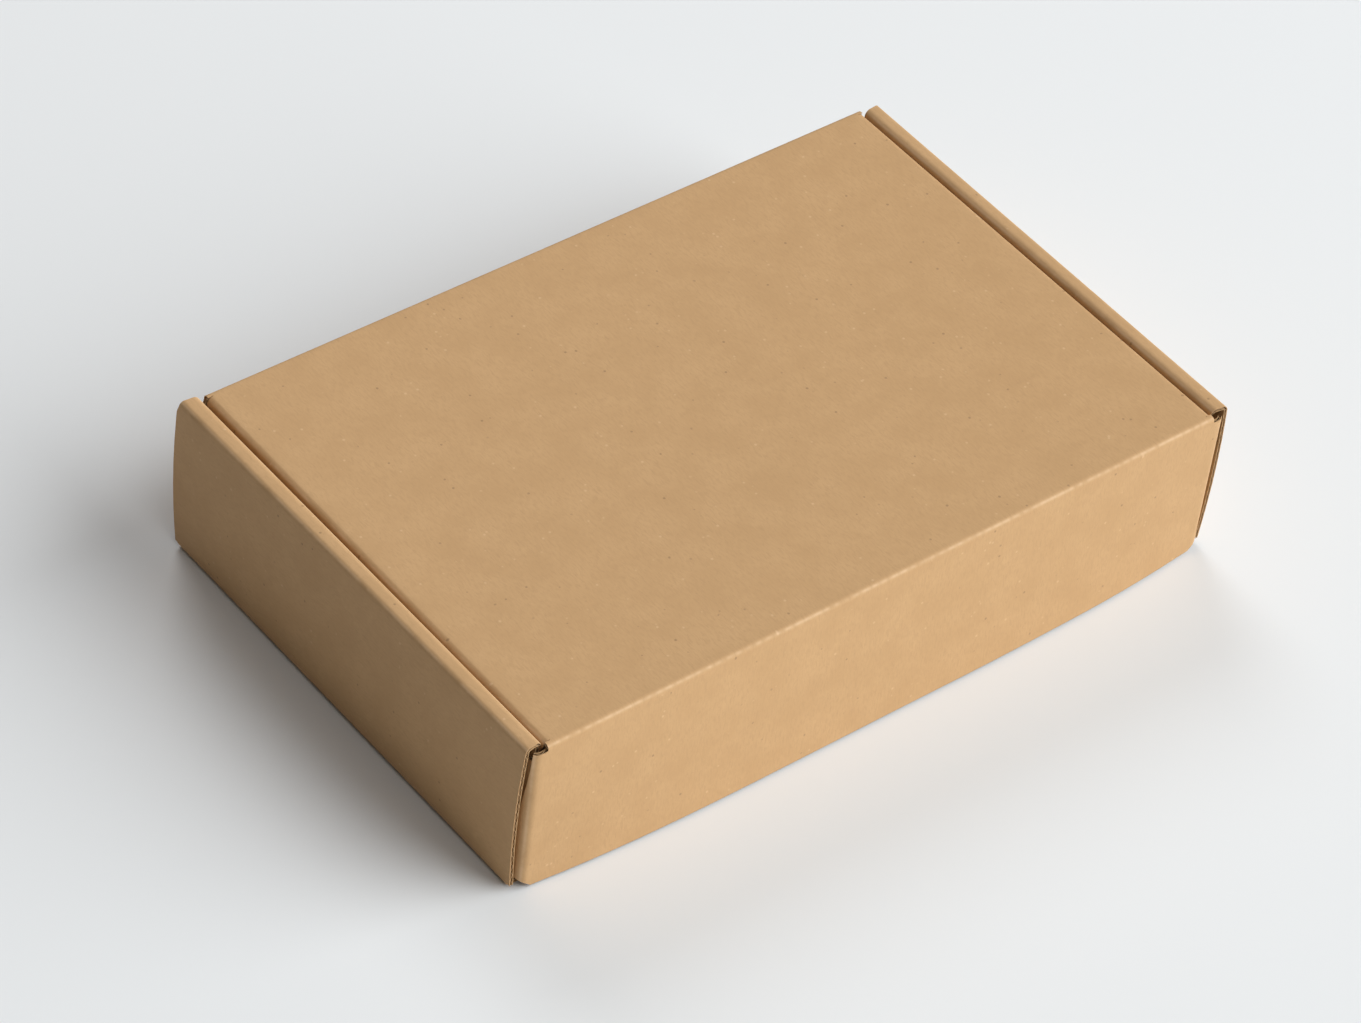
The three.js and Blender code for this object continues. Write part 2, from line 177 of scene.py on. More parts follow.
# The bands of the blank, each folded on both sides about its own creases before the panels are. The
# first and the last reach past the blank's ends.
PAST_FRONT_WALL = 60
PAST_FLAP = 80
BAND_GAP = 0.1
BASE_PLAY = 0.05
FRONT_BAND = (on_front_wall(PAST_FRONT_WALL), on_front_wall(HALF + TIGHT_FOLD + BAND_GAP))
BASE_BAND = (front_wall_face - BASE_PLAY, back_wall_face)
BACK_BAND = (back_start + BAND_GAP, lid_crease)
LID_BAND = (on_lid(back_wall_face - CREASE_REACH - HAIR), on_lid(flap_face + CREASE_REACH + HAIR))
FLAP_BAND = (on_flap(CREASE_REACH), on_flap(PAST_FLAP))
SIDE_FOLDS = [
    (FRONT_BAND, [(corner_fold, TIGHT_FOLD)]),
    (BASE_BAND, [(base_edge, TIGHT_FOLD), (roll_start, ROLL_OUTER_FOLD),
                 (strip_end, ROLL_INNER_FOLD)]),
    (BACK_BAND, [(corner_fold, TIGHT_FOLD)]),
    (LID_BAND, [(lid_fold, LID_FOLD)]),
    (FLAP_BAND, [(ear_fold, EAR_FOLD)]),
]
# Creases across the box: direction along the blank, place, radius and turn
PANEL_FOLDS = [
    (1, front_crease, OPENING_FOLD, flap_turn),
    (1, lid_crease, OPENING_FOLD, SQUARE),
    (1, back_fold, TIGHT_FOLD, SQUARE),
    (-1, -front_fold, TIGHT_FOLD, SQUARE),
]

# Cut-outs and corners of the die
WALL_SHOULDER = 47.5
FRONT_WALL_TOP = lid_top - BOARD - LAYER_GAP
FRONT_WALL_FULL = corner_fold - 6
FOOT_GAP = 0.2
CORNER_FLAP_LENGTH = 56
CORNER_FLAP_TAPER = 6
CORNER_FLAP_CORNER = 5
DUST_FLAP_DEPTH = 30
DUST_FLAP_SLANT = 14
DUST_FLAP_CORNER = 8
FLAP_SHOULDER = 2.0
FLAP_SHOULDER_ROUND = 0.8
FLAP_CORNER_CUT = (4.0, 3.6)
ROLL_END_SLANT = 0.9
ROLL_REAR_STEPS = (0.8, 1.2, 1.6)
ROLL_REAR_CORNER = 2.5
TAB = (28, 56)
SLOT_GAP = 0.3
END_WALL_INSET = 0.7
EAR_CLEARANCE = 0.3
EAR_TOP_CLEARANCE = 0.5
end_wall_rear = back_wall_face - END_WALL_INSET


def rounded(corners, steps=5):
    """A chain of points whose corners are rounded by the radius that some of them carry."""
    chain = []
    for i, (across, along, *radius) in enumerate(corners):
        corner = Vector((across, along))
        if not radius:
            chain.append(corner)
            continue
        before = (corner - Vector(corners[i - 1][:2])).normalized()
        after = (Vector(corners[i + 1][:2]) - corner).normalized()
        turn = before.angle_signed(after)
        reach = radius[0] * math.tan(abs(turn) / 2)
        start, end = corner - before * reach, corner + after * reach
        for step in range(steps + 1):
            share = step / steps
            bend = start.lerp(corner, share).lerp(corner.lerp(end, share), share)
            chain.append(bend)
    return chain


def corner_flap_edge(foot, shoulder):
    """The free edge of a corner flap, from one level of its wall to another."""
    tip = corner_start + CORNER_FLAP_LENGTH - HALF - TIGHT_FOLD
    inward = math.copysign(CORNER_FLAP_TAPER, shoulder - foot)
    return [
        (corner_start, foot),
        (tip, foot + inward, CORNER_FLAP_CORNER),
        (tip, shoulder - inward, CORNER_FLAP_CORNER),
        (corner_start, shoulder),
    ]


def tray_edge():
    """Half of the tray's outline, as points across and along the blank."""
    front_foot = on_front_wall(HALF + TIGHT_FOLD + FOOT_GAP)
    back_foot = on_back_wall(HALF + TIGHT_FOLD + FOOT_GAP)
    inner_front = front_wall_face + BOARD + LAYER_GAP
    inner_back = back_wall_face - BOARD - LAYER_GAP
    tab_end = inner_end + floor_clear
    low_step, middle_step, high_step = ROLL_REAR_STEPS
    inner_wall_edge = [(inner_end, inner_front)]
    for start, end in ((-TAB[1], -TAB[0]), TAB):
        inner_wall_edge += [(inner_end, start), (tab_end, start), (tab_end, end), (inner_end, end)]
    inner_wall_edge.append((inner_end, inner_back))
    return [
        (FRONT_WALL_FULL, on_front_wall(FRONT_WALL_TOP)),
        (FRONT_WALL_FULL, on_front_wall(WALL_SHOULDER)),
        *corner_flap_edge(on_front_wall(WALL_SHOULDER), front_foot),
        (corner_fold, front_foot),
        (corner_fold, front_wall_face),
        (roll_start, front_wall_face),
        (inner_start, front_wall_face + ROLL_END_SLANT),
        (inner_start, inner_front),
        *inner_wall_edge,
        (inner_start, inner_back),
        (inner_start, end_wall_rear - high_step),
        (roll_end, end_wall_rear - middle_step),
        (roll_start, end_wall_rear - low_step),
        (roll_start - ROLL_REAR_CORNER, end_wall_rear),
        (corner_fold, end_wall_rear),
        (corner_fold, back_foot),
        *corner_flap_edge(back_foot, on_back_wall(WALL_SHOULDER)),
        (crease_end, on_back_wall(WALL_SHOULDER)),
        (crease_end, on_back_wall(lid_top - CREASE_REACH)),
    ]


def lid_edge():
    back, front = on_lid(back_wall_face - CREASE_REACH), on_lid(flap_face + CREASE_REACH)
    foot = dust_start + DUST_FLAP_DEPTH - HALF - LID_FOLD
    return [
        (lid_fold, back),
        (lid_fold, back + SLIT),
        (dust_start, back + SLIT),
        (foot, back + SLIT + DUST_FLAP_SLANT, DUST_FLAP_CORNER),
        (foot, front - SLIT - DUST_FLAP_SLANT, DUST_FLAP_CORNER),
        (dust_start, front - SLIT),
        (lid_fold, front - SLIT),
        (lid_fold, front),
    ]


def ear_reach(drop):
    """Place across the blank of an ear's back edge, an arc about the lid's crease."""
    to_crease = back_wall_face - flap_face
    roll_slant = ROLL_END_SLANT * (BOARD + LAYER_GAP) / (end_wall - inner_wall + BOARD)
    to_roll = to_crease - BOARD - LAYER_GAP - roll_slant
    radius = math.hypot(to_roll, EAR_TOP_CLEARANCE) + EAR_CLEARANCE
    inward = to_crease - math.sqrt(radius**2 - drop**2) - HALF
    if inward >= EAR_FOLD:
        return ear_start + inward - EAR_FOLD
    return ear_fold + EAR_FOLD * math.acos(1 - inward / EAR_FOLD)


def flap_edge():
    """Half of the front flap's outline, with its shoulder, ear and cut lower corner."""
    cut_width, cut_height = FLAP_CORNER_CUT
    cut_slope = cut_height / cut_width
    cut_start = ear + HALF - cut_width
    ear_foot = flap_height - cut_slope * (ear - cut_start)
    edge = [
        (crease_end, on_flap(CREASE_REACH)),
        (crease_end + FLAP_SHOULDER_ROUND, on_flap(FLAP_SHOULDER)),
    ]
    for step in range(9):
        drop = FLAP_SHOULDER + (ear_foot - FLAP_SHOULDER) * step / 8
        edge.append((ear_reach(drop), on_flap(drop)))
    for turn in (SQUARE, SQUARE * 2 / 3, SQUARE / 3, 0):
        across = ear_fold + EAR_FOLD * turn
        x = ear_fold + EAR_FOLD * math.sin(turn)
        edge.append((across, on_flap(flap_height - cut_slope * (x - cut_start))))
    edge.append((cut_start, on_flap(flap_height)))
    return edge


# Rectangles cut out of each half of the blank: across from and to, along from and to. The first two
# free the corners of the base, and the others are the slots for the locking tabs.
CUT_OUTS = [(corner_fold, wall_start, front_wall_face, front_fold),
            (corner_fold, wall_start, back_fold, end_wall_rear)]
for tab_start, tab_stop in ((-TAB[1], -TAB[0]), TAB):
    CUT_OUTS.append((inner_wall - HALF - SLOT_GAP, inner_wall + HALF + SLOT_GAP,
                     tab_start - SLOT_GAP, tab_stop + SLOT_GAP))

# Where the pieces at the two creases that open start and end along the blank
lid_crease_span = (on_back_wall(lid_top - CREASE_REACH), on_lid(back_wall_face - CREASE_REACH))
front_crease_span = (on_lid(flap_face + CREASE_REACH), on_flap(CREASE_REACH))


def straight_edge(span):
    """Half of the outline of a piece at a crease that opens."""
    return [(crease_end, span[0]), (crease_end, span[1])]


# Cutting the flat blank. A cut takes in the faces around it as far as the longest cells reach, and
# leaves out lines that are too short to cut.
CELLS_ASIDE = 9
CELLS_AHEAD = 20
FOLD_ASIDE = 12
SHORTEST_CUT = 0.004
CUT_TOLERANCE = 0.005


def split(blank, point, normal, faces=None):
    """Cuts the sheet, or only some of its faces, where a plane crosses it."""
    if faces is None:
        parts = blank.verts[:] + blank.edges[:] + blank.faces[:]
    else:
        found = dict.fromkeys(faces)
        for face in faces:
            found.update(dict.fromkeys(face.edges))
            found.update(dict.fromkeys(face.verts))
        parts = list(found)
    bmesh.ops.bisect_plane(blank, geom=parts, dist=CUT_TOLERANCE, plane_co=point, plane_no=normal)


def faces_within(faces, low, high, start, end):
    """Faces whose middle lies between two distances from the centre line and two places along it."""
    found = []
    for face in faces:
        middle = face.calc_center_bounds()
        if start < middle.y < end and low < abs(middle.x) < high:
            found.append(face)
    return found


def split_along(blank, faces, place):
    """Cuts those of the faces that a line across the blank crosses."""
    crossed = [f for f in faces
               if min(v.co.y for v in f.verts) < place < max(v.co.y for v in f.verts)]
    split(blank, (0, place, 0), (0, 1, 0), crossed)


def drop_faces(blank, faces):
    bmesh.ops.delete(blank, geom=faces, context="FACES")


def trim(blank, edge):
    """Cuts both sides of the blank along half of its outline."""
    widest = max(point[0] for point in edge) + 2 * FLUTE_PITCH
    for start, end in zip(edge, edge[1:]):
        if end[1] - start[1] < SHORTEST_CUT:
            continue
        near = min(start[0], end[0]) - HAIR
        ahead = end[1] + CELLS_AHEAD
        beyond = faces_within(blank.faces, near, widest, start[1] - CELLS_AHEAD, ahead)
        split_along(blank, beyond, start[1])
        beyond = faces_within(blank.faces, near - CELLS_ASIDE, widest, start[1], ahead)
        split_along(blank, beyond, end[1])
        band = faces_within(blank.faces, near - CELLS_ASIDE, widest, start[1], end[1])
        for side in (-1, 1):
            run = Vector((side * (end[0] - start[0]), end[1] - start[1], 0))
            outward = Vector((side * run.y, -side * run.x, 0)).normalized()
            point = Vector((side * start[0], start[1], 0))
            mine = [f for f in band if f.is_valid and side * f.calc_center_bounds().x > 0]
            split(blank, point, outward, mine)
            mine = [f for f in faces_within(blank.faces, near, widest, start[1], end[1])
                    if side * f.calc_center_bounds().x > 0]
            drop_faces(blank, [f for f in mine if (f.calc_center_median() - point).dot(outward) > 0])


def cut_out(blank, low, high, start, end):
    """Cuts the same rectangle out of both sides of the blank."""
    around = (low - CELLS_ASIDE, high + CELLS_ASIDE, start - CELLS_AHEAD, end + CELLS_AHEAD)
    for side in (-1, 1):
        for place in (low, high):
            split(blank, (side * place, 0, 0), (1, 0, 0), faces_within(blank.faces, *around))
    for place in (start, end):
        split(blank, (0, place, 0), (0, 1, 0), faces_within(blank.faces, *around))
    drop_faces(blank, faces_within(blank.faces, low, high, start, end))


def fold_lines(start, reach):
    """Places to split the sheet at for one fold: through its bend, and just outside it on each side."""
    inside = [start + reach * step / FOLD_STEPS for step in range(FOLD_STEPS + 1)]
    return [start - FOLD_MARGIN, *inside, start + reach + FOLD_MARGIN]


def score(blank, first, last, with_side_folds):
    """Splits the sheet along each fold into narrow strips, so that it can bend there."""
    for direction, place, radius, turn in PANEL_FOLDS:
        for at in fold_lines(place, arc_length(radius, turn)):
            if first < direction * at < last:
                split(blank, (0, direction * at, 0), (0, 1, 0))
    if not with_side_folds:
        return
    for (start, end), folds in SIDE_FOLDS:
        if end < first or last < start:
            continue
        for place, radius in folds:
            reach = arc_length(radius)
            low, high = place - FOLD_ASIDE, place + reach + FOLD_ASIDE
            for at in fold_lines(place, reach):
                for side in (-1, 1):
                    faces = faces_within(blank.faces, low, high, start, end)
                    split(blank, (side * at, 0, 0), (1, 0, 0), faces)


def flat_sheet(edge, cell, row, with_side_folds):
    """One paper of a piece, lying flat and cut to its outline."""
    half = FLUTE_PITCH * math.ceil(max(point[0] for point in edge) / FLUTE_PITCH)
    start, end = edge[0][1], edge[-1][1]
    blank = bmesh.new()
    bmesh.ops.create_grid(
        blank, x_segments=round(2 * half / cell), y_segments=max(1, round((end - start) / row)), size=1)
    bmesh.ops.scale(blank, vec=(half, (end - start) / 2, 1), verts=blank.verts)
    bmesh.ops.translate(blank, vec=(0, (start + end) / 2, 0), verts=blank.verts)
    score(blank, start, end, with_side_folds)
    trim(blank, rounded(edge))
    for hole in CUT_OUTS:
        if start < hole[2] < end:
            cut_out(blank, *hole)
    return blank


def thicken(blank, rise, thickness, paper):
    """Gives a flat paper its thickness, from a height up, and its number among the papers."""
    for face in blank.faces:
        face.material_index = paper
    bmesh.ops.translate(blank, vec=(0, 0, rise), verts=blank.verts)
    made = bmesh.ops.extrude_face_region(blank, geom=blank.faces[:], use_keep_orig=True)
    upper = [part for part in made["geom"] if isinstance(part, bmesh.types.BMVert)]
    bmesh.ops.translate(blank, vec=(0, 0, thickness), verts=upper)
    bmesh.ops.recalc_face_normals(blank, faces=blank.faces)


def flute(blank):
    """Waves the middle paper across the board."""
    for vert in blank.verts:
        vert.co.z = FLUTE_RISE * math.cos(2 * math.pi * vert.co.x / FLUTE_PITCH)


def flat_board(edge):
    """A piece of board lying flat: outer liner, inner liner and the fluted paper between them."""
    board = bmesh.new()
    papers = [(LINER_CELL, LINER_CELL, -HALF, LINER), (LINER_CELL, LINER_CELL, HALF - LINER, LINER),
              (FLUTE_COLUMN, FLUTE_ROW, -MEDIUM / 2, MEDIUM)]
    for number, (cell, row, rise, thickness) in enumerate(papers):
        is_flute = number == 2
        paper = flat_sheet(edge, cell, row, not is_flute)
        if is_flute:
            flute(paper)
        thicken(paper, rise, thickness, number)
        held = bpy.data.meshes.new("paper")
        paper.to_mesh(held)
        paper.free()
        board.from_mesh(held)
        bpy.data.meshes.remove(held)
    return board


# Folding. Only what lies this far from the centre line folds at the sides.
SIDES_FROM = 100


def near_fold(across, along):
    """1 in the middle of a fold, 0 from its margin outwards, for a place on the flat blank."""
    nearest = 0
    if abs(across) < crease_end + 1:
        for direction, start, radius, turn in PANEL_FOLDS:
            half = arc_length(radius, turn) / 2
            away = abs(direction * along - start - half)
            nearest = max(nearest, 1 - away / (half + FOLD_MARGIN))
    for (first, last), folds in SIDE_FOLDS:
        if first < along < last:
            for start, radius in folds:
                half = arc_length(radius) / 2
                away = abs(abs(across) - start - half)
                nearest = max(nearest, 1 - away / (half + FOLD_MARGIN))
    return nearest


def note_flat_places(board):
    """Keeps each point's place on the flat blank, which the folds and the paper's grain follow."""
    across = board.verts.layers.float.new("across")
    along = board.verts.layers.float.new("along")
    # How near a fold each point lies: the mask for the lighter band along the folds, partly real rubbing
    # and partly a painted highlight on the fold ridges
    fold_wear_and_highlight = board.verts.layers.float.new("fold_wear_and_highlight")
    for vert in board.verts:
        vert[across], vert[along] = vert.co.x, vert.co.y
        vert[fold_wear_and_highlight] = near_fold(vert.co.x, vert.co.y)
    grain = board.loops.layers.uv.new("blank")
    for face in board.faces:
        for loop in face.loops:
            loop[grain].uv = (loop.vert.co.x * MM, loop.vert.co.y * MM)
    return across, along


def bend(verts, places, direction, start, radius, turn):
    """Folds up what lies beyond a line of the blank. places gives how far out each point lay flat."""
    reach = radius * turn
    axis = direction.cross(Vector((0, 0, 1)))
    centre = direction * start + Vector((0, 0, radius))
    whole = Matrix.Translation(centre) @ Matrix.Rotation(turn, 4, axis) @ Matrix.Translation(
        -centre - direction * reach)
    for vert, place in zip(verts, places):
        run = place - start
        if run >= reach:
            vert.co = whole @ vert.co
        elif run > 0:
            part = Matrix.Rotation(run / radius, 3, axis)
            vert.co = part @ (vert.co - direction * run - centre) + centre


def fold_board(board, across, along):
    """Folds up the sides, then the panels. The end walls reach past the panels' folds, but stay put."""
    for (start, end), folds in SIDE_FOLDS:
        for side in (-1, 1):
            verts = [v for v in board.verts
                     if start < v[along] < end and side * v[across] > SIDES_FROM]
            places = [side * v[across] for v in verts]
            for place, radius in reversed(folds):
                bend(verts, places, Vector((side, 0, 0)), place, radius, SQUARE)
    wall_from = corner_fold + BASE_PLAY
    verts = [v for v in board.verts
             if not (BASE_BAND[0] < v[along] < BASE_BAND[1] and abs(v[across]) > wall_from)]
    for direction, place, radius, turn in PANEL_FOLDS:
        places = [direction * v[along] for v in verts]
        bend(verts, places, Vector((0, direction, 0)), place, radius, turn)
    bmesh.ops.translate(board, vec=(0, 0, HALF), verts=board.verts)


# Wear and play in the board
SHARP_ANGLE = math.radians(34)


def fade(value, start, end):
    """0 before start, 1 after end, and smooth between."""
    share = min(max((value - start) / (end - start), 0), 1)
    return share * share * (3 - 2 * share)


def away_from_creases(place):
    """0 at each crease along the blank, rising to 1 in the middle of a panel."""
    creases = [front_fold, back_fold, lid_crease, lid_start, front_crease, flap_start]
    return fade(min(abs(place - crease) for crease in creases), *SWELL_NEAR_CREASE)


def uneven(board, across, along):
    """The slight swell of a panel that has been scored, folded and handled."""
    for vert in board.verts:
        u, v = vert[across], vert[along]
        wide = noise.noise(Vector((u / WIDE_WAVE[0], v / WIDE_WAVE[1], 0.3)))
        small = noise.noise(Vector((u / SMALL_WAVE, v / SMALL_WAVE, 4)))
        side = 1 - fade(abs(u), *SWELL_NEAR_SIDE)
        vert.co.z += SWELL * (wide + 0.5 * small) * away_from_creases(v) * side


def bow_out(board, across, along):
    """Bows the front flap's lower edge and the outer end walls. The left wall leans out and back too."""
    roll_fades = inner_start + REACH_FADE
    for vert in board.verts:
        u, v = vert[across], vert[along]
        if v > front_crease and abs(u) < crease_end:
            drop = lid_top - vert.co.z
            flatness = 1 - abs(u / crease_end) ** 4
            vert.co.y -= FLAP_BOW * flatness * max(drop, 0) / flap_height
        if BASE_BAND[0] < v < BASE_BAND[1] and base_edge < abs(u) < roll_fades:
            share = min(max((vert.co.z - HALF) / (HEIGHT - BOARD), 0), 1)
            bow = END_WALL_BOW * 4 * share * (1 - share) if abs(u) < roll_end else 0
            lean = 0
            if u < 0:
                lean = REAR_LEAN * share * fade(v, REAR_LEAN_FROM, back_wall_face)
                lean *= 1 - fade(-u, roll_end, inner_start)
                reach = REAR_REACH * share * fade(v, REAR_REACH_FROM, back_wall_face)
                vert.co.y += reach * (1 - fade(-u, inner_start, roll_fades))
            vert.co.x += math.copysign(bow + lean, u)


def draw_in_lid(board, across, along):
    """The lid's left side runs in a little towards the back."""
    start, end = on_back_wall(WALL_SHOULDER), front_crease
    for vert in board.verts:
        u, v = vert[across], vert[along]
        if start < v < end and u < 0:
            rear = fade(v, start, lid_crease) * (1 - fade(v, lid_start, end))
            vert.co.x += LID_DRAWN_IN * rear * fade(-u, LID_DRAWN_FROM, crease_end)


def finish_board(name, board):
    """Turns a folded board into a piece of the scene, in metres."""
    for vert in board.verts:
        vert.co *= MM
    mesh = bpy.data.meshes.new(name)
    board.to_mesh(mesh)
    board.free()
    mesh.shade_smooth()
    mesh.set_sharp_from_angle(angle=SHARP_ANGLE)
    piece = bpy.data.objects.new(name, mesh)
    bpy.context.scene.collection.objects.link(piece)
    for material in (outer_liner, inner_liner, fluting):
        mesh.materials.append(material)
    return piece


def folded_piece(name, edge):
    board = flat_board(edge)
    across, along = note_flat_places(board)
    uneven(board, across, along)
    fold_board(board, across, along)
    bow_out(board, across, along)
    draw_in_lid(board, across, along)
    return finish_board(name, board)


# Materials


def shader_node(tree, kind, values=None, **settings):
    made = tree.nodes.new(kind)
    for key, value in settings.items():
        setattr(made, key, value)
    for key, value in (values or {}).items():
        socket = made.inputs[key]
        if isinstance(value, bpy.types.NodeSocket):
            tree.links.new(value, socket)
        else:
            socket.default_value = value
    return made


def new_group(name, inputs, outputs):
    tree = bpy.data.node_groups.new(name, "ShaderNodeTree")
    for label, kind, value in inputs:
        socket = tree.interface.new_socket(label, in_out="INPUT", socket_type="NodeSocket" + kind)
        if value is not None:
            socket.default_value = value
    for label, kind in outputs:
        tree.interface.new_socket(label, in_out="OUTPUT", socket_type="NodeSocket" + kind)
    return tree, tree.nodes.new("NodeGroupInput").outputs, tree.nodes.new("NodeGroupOutput").inputs


def ramp(tree, factor, low, high):
    return shader_node(tree, "ShaderNodeMapRange", {"Value": factor, "From Min": low, "From Max": high},
                       interpolation_type="SMOOTHSTEP").outputs["Result"]


def product(tree, first, second):
    return shader_node(tree, "ShaderNodeMath", {0: first, 1: second}, operation="MULTIPLY").outputs[0]


def product_and_sum(tree, first, second, added):
    return shader_node(tree, "ShaderNodeMath", {0: first, 1: second, 2: added},
                       operation="MULTIPLY_ADD").outputs[0]


def mixed(tree, factor, first, second):
    made = shader_node(tree, "ShaderNodeMix", data_type="RGBA")
    for index, value in ((0, factor), (6, first), (7, second)):
        if isinstance(value, bpy.types.NodeSocket):
            tree.links.new(value, made.inputs[index])
        else:
            made.inputs[index].default_value = value
    return made.outputs[2]


def noise_texture(tree, place, scale, detail, roughness=0.5, distortion=0.0):
    return shader_node(tree, "ShaderNodeTexNoise",
                       {"Vector": place, "Scale": scale, "Detail": detail, "Roughness": roughness,
                        "Distortion": distortion}).outputs[0]


def flecks(tree, place, scale, size, rarity, share):
    """Small round flecks. size and share each give where they start to show and where they are full."""
    cells = shader_node(tree, "ShaderNodeTexVoronoi", {"Vector": place, "Scale": scale, "Randomness": 1})
    return product(tree, ramp(tree, cells.outputs["Distance"], *size), ramp(tree, rarity, *share))


def paper_grain():
    """Fibres, cloudy patches and flecks of kraft paper, from a place on the blank in metres."""
    tree, given, out = new_group(
        "Paper grain", [("Place", "Vector", None)],
        [("Clouds", "Float"), ("Fibres", "Float"), ("Flecks", "Float"), ("Pale flecks", "Float"),
         ("Tooth", "Float")])
    place = given["Place"]
    fibre_place = shader_node(tree, "ShaderNodeVectorMath", {0: place, 1: (1700, 420, 1)},
                              operation="MULTIPLY").outputs[0]
    rarity = noise_texture(tree, place, 190, 1)
    tree.links.new(noise_texture(tree, place, 80, 4, 0.6), out["Clouds"])
    tree.links.new(noise_texture(tree, fibre_place, 1.0, 3, 0.65, 0.7), out["Fibres"])
    tree.links.new(flecks(tree, place, 260, (0.13, 0.07), rarity, (0.54, 0.62)), out["Flecks"])
    tree.links.new(flecks(tree, place, 320, (0.17, 0.08), rarity, (0.47, 0.39)), out["Pale flecks"])
    tree.links.new(noise_texture(tree, place, 2200, 2), out["Tooth"])
    return tree


def flute_lines():
    """How strongly the flutes show through a liner, as a height between 0 and 1."""
    tree, given, out = new_group(
        "Flute lines", [("Place", "Vector", None)], [("Height", "Float")])
    across = shader_node(tree, "ShaderNodeSeparateXYZ", {0: given["Place"]}).outputs[0]
    turn = product(tree, across, 2 * math.pi / (FLUTE_PITCH * MM))
    wave = shader_node(tree, "ShaderNodeMath", {0: turn}, operation="COSINE").outputs[0]
    tree.links.new(product_and_sum(tree, wave, 0.5, 0.5), out["Height"])
    return tree


def fold_wear_and_painted_highlight():
    """Lighter paper along the folds, broken up by the patches and the flutes: partly real rubbing of the
    paper, partly a painted highlight where the rounded ridges catch the light.
    """
    tree, given, out = new_group(
        "Fold wear and painted highlight", [("Near fold", "Float", 0.0), ("Clouds", "Float", 0.5), ("Flutes", "Float", 0.5)],
        [("Wear and highlight", "Float")])
    patch = ramp(tree, product_and_sum(tree, given["Flutes"], 0.12, given["Clouds"]), 0.36, 0.7)
    close = ramp(tree, given["Near fold"], 0.76, 1.0)
    tree.links.new(product(tree, patch, close), out["Wear and highlight"])
    return tree


# How much each part of the grain shows
FIBRE_SHADE = 0.94
FLECK_SHARE = 0.6
PALE_FLECK_SHARE = 0.35
TOOTH_HEIGHT = 0.25
RELIEF_STRENGTH = 0.28
RELIEF_DEPTH = 0.00006
PAPER_SPECULAR = 0.35


def paper_material(name, pale, deep, fleck, rubbed_and_highlight, roughness, flute_depth, wear_and_highlight_amount):
    material = bpy.data.materials.new(name)
    material.use_nodes = True
    tree = material.node_tree
    shader = tree.nodes["Principled BSDF"]
    place = shader_node(tree, "ShaderNodeUVMap", uv_map="blank").outputs[0]
    # How near a fold: the mask for the lighter band along the folds, partly real rubbing and partly a
    # painted highlight
    near = shader_node(tree, "ShaderNodeAttribute", attribute_name="fold_wear_and_highlight").outputs["Fac"]
    grain = shader_node(tree, "ShaderNodeGroup", {"Place": place}, node_tree=grain_group).outputs
    flutes = shader_node(tree, "ShaderNodeGroup", {"Place": place}, node_tree=line_group).outputs["Height"]
    wear_and_highlight = shader_node(tree, "ShaderNodeGroup",
                       {"Near fold": near, "Clouds": grain["Clouds"], "Flutes": flutes},
                       node_tree=wear_and_highlight_group).outputs["Wear and highlight"]

    fibre = tuple(FIBRE_SHADE * c for c in deep[:3]) + (1,)
    colour = mixed(tree, ramp(tree, grain["Clouds"], 0.25, 0.75), deep, pale)
    colour = mixed(tree, ramp(tree, grain["Fibres"], 0.62, 0.2), colour, fibre)
    colour = mixed(tree, product(tree, grain["Flecks"], FLECK_SHARE), colour, fleck)
    colour = mixed(tree, product(tree, grain["Pale flecks"], PALE_FLECK_SHARE), colour, rubbed_and_highlight)
    # Lighter along the folds: partly real rubbing of the paper, partly a painted highlight on the fold
    # ridges
    colour = mixed(tree, product(tree, wear_and_highlight, wear_and_highlight_amount), colour, rubbed_and_highlight)
    tree.links.new(colour, shader.inputs["Base Color"])
    shader.inputs["Roughness"].default_value = roughness
    shader.inputs["Specular IOR Level"].default_value = PAPER_SPECULAR

    relief = product_and_sum(tree, flutes, flute_depth, product(tree, grain["Tooth"], TOOTH_HEIGHT))
    bump = shader_node(tree, "ShaderNodeBump", {"Height": relief, "Strength": RELIEF_STRENGTH,
                                                "Distance": RELIEF_DEPTH})
    tree.links.new(bump.outputs[0], shader.inputs["Normal"])
    return material


grain_group = paper_grain()
line_group = flute_lines()
wear_and_highlight_group = fold_wear_and_painted_highlight()
# Each paper's lighter colour tints its real pale flecks and also the band along the folds, which is partly
# a painted highlight
outer_liner = paper_material(
    "Outer liner", pale=(0.568, 0.347, 0.166, 1), deep=(0.522, 0.313, 0.145, 1),
    fleck=(0.26, 0.15, 0.07, 1), rubbed_and_highlight=(0.76, 0.53, 0.32, 1), roughness=0.68, flute_depth=0.3,
    wear_and_highlight_amount=0.5)
inner_liner = paper_material(
    "Inner liner", pale=(0.52, 0.325, 0.155, 1), deep=(0.465, 0.285, 0.132, 1),
    fleck=(0.18, 0.095, 0.04, 1), rubbed_and_highlight=(0.62, 0.42, 0.23, 1), roughness=0.8, flute_depth=0.8,
    wear_and_highlight_amount=0.3)
fluting = paper_material(
    "Fluting", pale=(0.44, 0.29, 0.155, 1), deep=(0.37, 0.235, 0.12, 1),
    fleck=(0.12, 0.07, 0.03, 1), rubbed_and_highlight=(0.5, 0.35, 0.2, 1), roughness=0.9, flute_depth=0.0,
    wear_and_highlight_amount=0.0)

# Pieces
tray = folded_piece("tray_board", tray_edge())
lid = folded_piece("lid_board", lid_edge())
flap = folded_piece("front_flap_board", flap_edge())
lid_strip = folded_piece("lid_crease_board", straight_edge(lid_crease_span))
flap_strip = folded_piece("front_crease_board", straight_edge(front_crease_span))

